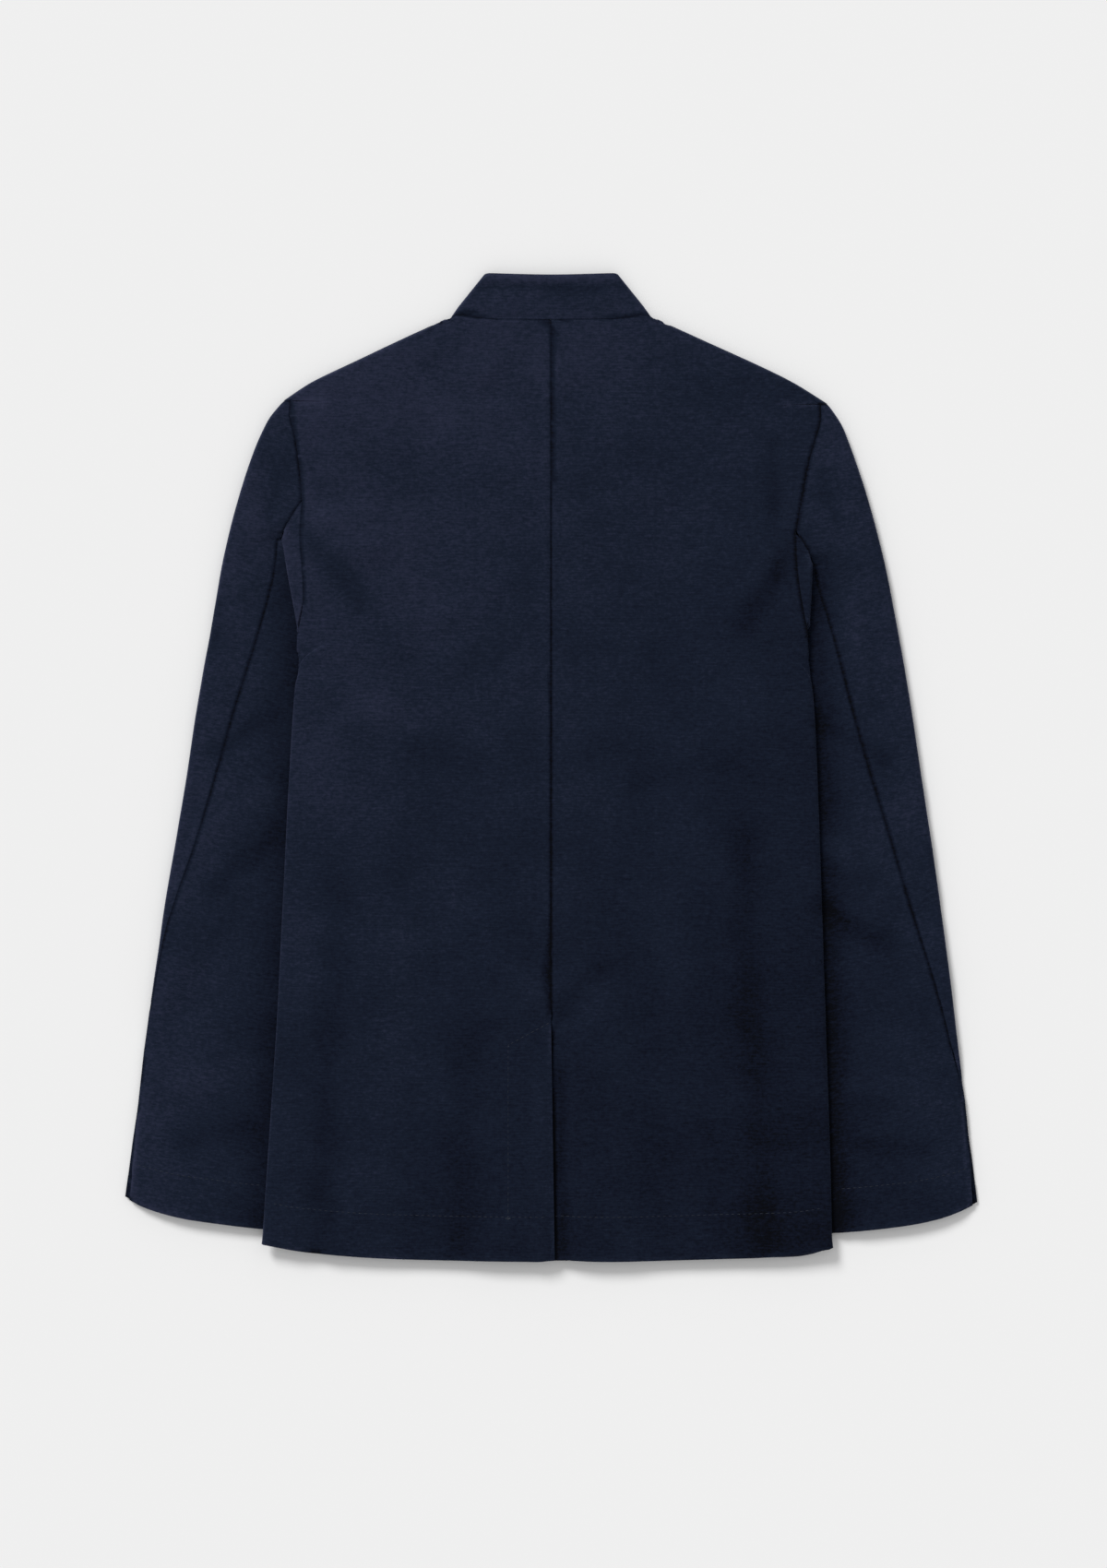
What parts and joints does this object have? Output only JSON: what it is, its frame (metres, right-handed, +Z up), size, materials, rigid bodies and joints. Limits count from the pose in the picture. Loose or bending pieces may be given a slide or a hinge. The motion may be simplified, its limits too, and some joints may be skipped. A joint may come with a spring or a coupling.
{
  "type": "nehru jacket",
  "caption": "Long-sleeved jacket with a small stand collar and a centre back vent, buttoned and laid flat face down, its sleeves at its sides and partly under it.",
  "frame": {"origin": "on the surface that the jacket lies on, under the middle of its box", "axes": "+Z up, out of the jacket's back; +Y from the hem to the collar; +X to the wearer's right, which is on the right of the jacket seen from above"},
  "size_m": [0.669, 0.775, 0.0112],
  "materials": {
    "jacket_cloth": "dark navy brushed cotton, dull, with a soft nap",
    "collar_cloth": "the same dark navy brushed cotton, dull, with a soft nap",
    "buttons": "dark navy plastic with a low sheen"
  },
  "bodies": {
    "root": {"back_left": "jacket_cloth", "back_right": "jacket_cloth", "side_left": "jacket_cloth", "side_right": "jacket_cloth", "front_left": "jacket_cloth", "front_right": "jacket_cloth", "sleeve_left_top": "jacket_cloth", "sleeve_left_under": "jacket_cloth", "sleeve_right_top": "jacket_cloth", "sleeve_right_under": "jacket_cloth", "collar": "collar_cloth", "button_1": "buttons", "button_2": "buttons", "button_3": "buttons", "button_4": "buttons", "button_5": "buttons"}
  },
  "joints": []
}
